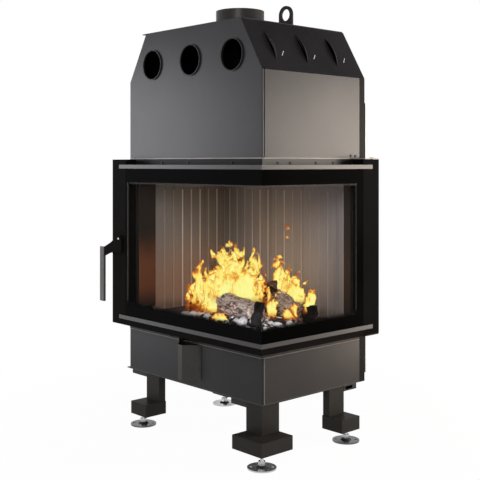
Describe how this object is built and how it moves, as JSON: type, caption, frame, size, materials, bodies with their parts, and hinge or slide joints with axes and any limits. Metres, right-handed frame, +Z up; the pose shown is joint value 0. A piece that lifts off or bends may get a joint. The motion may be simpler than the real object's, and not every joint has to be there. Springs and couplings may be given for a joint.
{
  "type": "fireplace insert",
  "caption": "Wood-burning corner fireplace insert: swinging L-shaped glass door on front and right side, convection hood with hot-air and flue collars, air lever, levelling feet.",
  "frame": {"origin": "on the floor under the middle of the overall box", "axes": "+Z up along the height, +Y from the front to the rear, +X to the right"},
  "size_m": [1.0264, 0.6865, 1.7635],
  "materials": {
    "graphite_paint": "satin",
    "black_paint": "matte",
    "firebox_steel": "matte",
    "lining_ceramic": "matte",
    "door_glass": "gloss",
    "strip_steel": "brushed",
    "seal_rope": "matte",
    "firewood": "matte",
    "chrome_feet": "polished"
  },
  "bodies": {
    "insert_body": {"base_tray": "black_paint", "bottom_plate": "graphite_paint", "air_inlet_spigot": "graphite_paint", "base_front_panel": "graphite_paint", "base_casing": "graphite_paint", "sill_plate": "graphite_paint", "air_channel_cover": "graphite_paint", "left_wall": "firebox_steel", "back_wall": "firebox_steel", "lower_frame": "graphite_paint", "header_frame": "graphite_paint", "floor_plate": "firebox_steel", "left_front_post": "firebox_steel", "right_rear_post": "firebox_steel", "ledge_plate": "graphite_paint", "lining_left": "lining_ceramic", "lining_back": "lining_ceramic", "hearth_slab": "lining_ceramic", "baffle_plate": "lining_ceramic", "log_heap": "firewood", "hot_air_collar_left": "graphite_paint", "hot_air_collar_middle": "graphite_paint", "hot_air_collar_right": "graphite_paint", "jacket_front_panel": "graphite_paint", "jacket_left_panel": "graphite_paint", "jacket_right_panel": "graphite_paint", "back_cover": "black_paint", "rear_heat_shield": "black_paint", "jacket_top_plate": "graphite_paint", "flue_collar": "graphite_paint", "lifting_eye": "black_paint", "smoke_dome": "firebox_steel", "upper_hinge_bracket": "strip_steel", "lower_hinge_bracket": "strip_steel", "hinge_pins": "strip_steel", "latch_catch": "black_paint", "leg_front_left": "black_paint", "leg_rear_left": "black_paint", "leg_rear_right": "black_paint", "leg_front_right": "black_paint", "panel_screws": "strip_steel"},
    "door": {"door_left_stile": "black_paint", "door_right_stile": "black_paint", "door_bottom_rail": "black_paint", "door_top_rail": "black_paint", "door_front_glass": "door_glass", "door_side_glass": "door_glass", "glass_strip_bottom": "strip_steel", "glass_strip_top": "strip_steel", "door_seal": "seal_rope"},
    "handle": {"handle_shaft": "strip_steel", "handle_arm": "black_paint", "handle_grip": "strip_steel", "latch_hook": "black_paint"},
    "air_control": {"air_slide_plate": "black_paint", "air_lever": "strip_steel"},
    "foot_screw_front_left": {"foot_front_left": "chrome_feet"},
    "foot_screw_front_right": {"foot_front_right": "chrome_feet"},
    "foot_screw_rear_left": {"foot_rear_left": "chrome_feet"},
    "foot_screw_rear_right": {"foot_rear_right": "chrome_feet"}
  },
  "joints": [
    {"name": "door_swing", "type": "hinge", "parent": "insert_body", "child": "door", "pos_m": [0.45875, 0.31625, 0.7485], "axis": [0, 0, 1], "range_deg": [0, 95]},
    {"name": "handle_turn", "type": "hinge", "parent": "door", "child": "handle", "pos_m": [-0.37125, -0.31775, 0.763], "axis": [0, 1, 0], "range_deg": [0, 40]},
    {"name": "air_lever_slide", "type": "slide", "parent": "insert_body", "child": "air_control", "axis": [1, 0, 0], "range_m": [0, 0.07]},
    {"name": "front_left_foot_height", "type": "slide", "parent": "insert_body", "child": "foot_screw_front_left", "axis": [0, 0, -1], "range_m": [0, 0.025]},
    {"name": "front_right_foot_height", "type": "slide", "parent": "insert_body", "child": "foot_screw_front_right", "axis": [0, 0, -1], "range_m": [0, 0.025]},
    {"name": "rear_left_foot_height", "type": "slide", "parent": "insert_body", "child": "foot_screw_rear_left", "axis": [0, 0, -1], "range_m": [0, 0.025]},
    {"name": "rear_right_foot_height", "type": "slide", "parent": "insert_body", "child": "foot_screw_rear_right", "axis": [0, 0, -1], "range_m": [0, 0.025]}
  ]
}
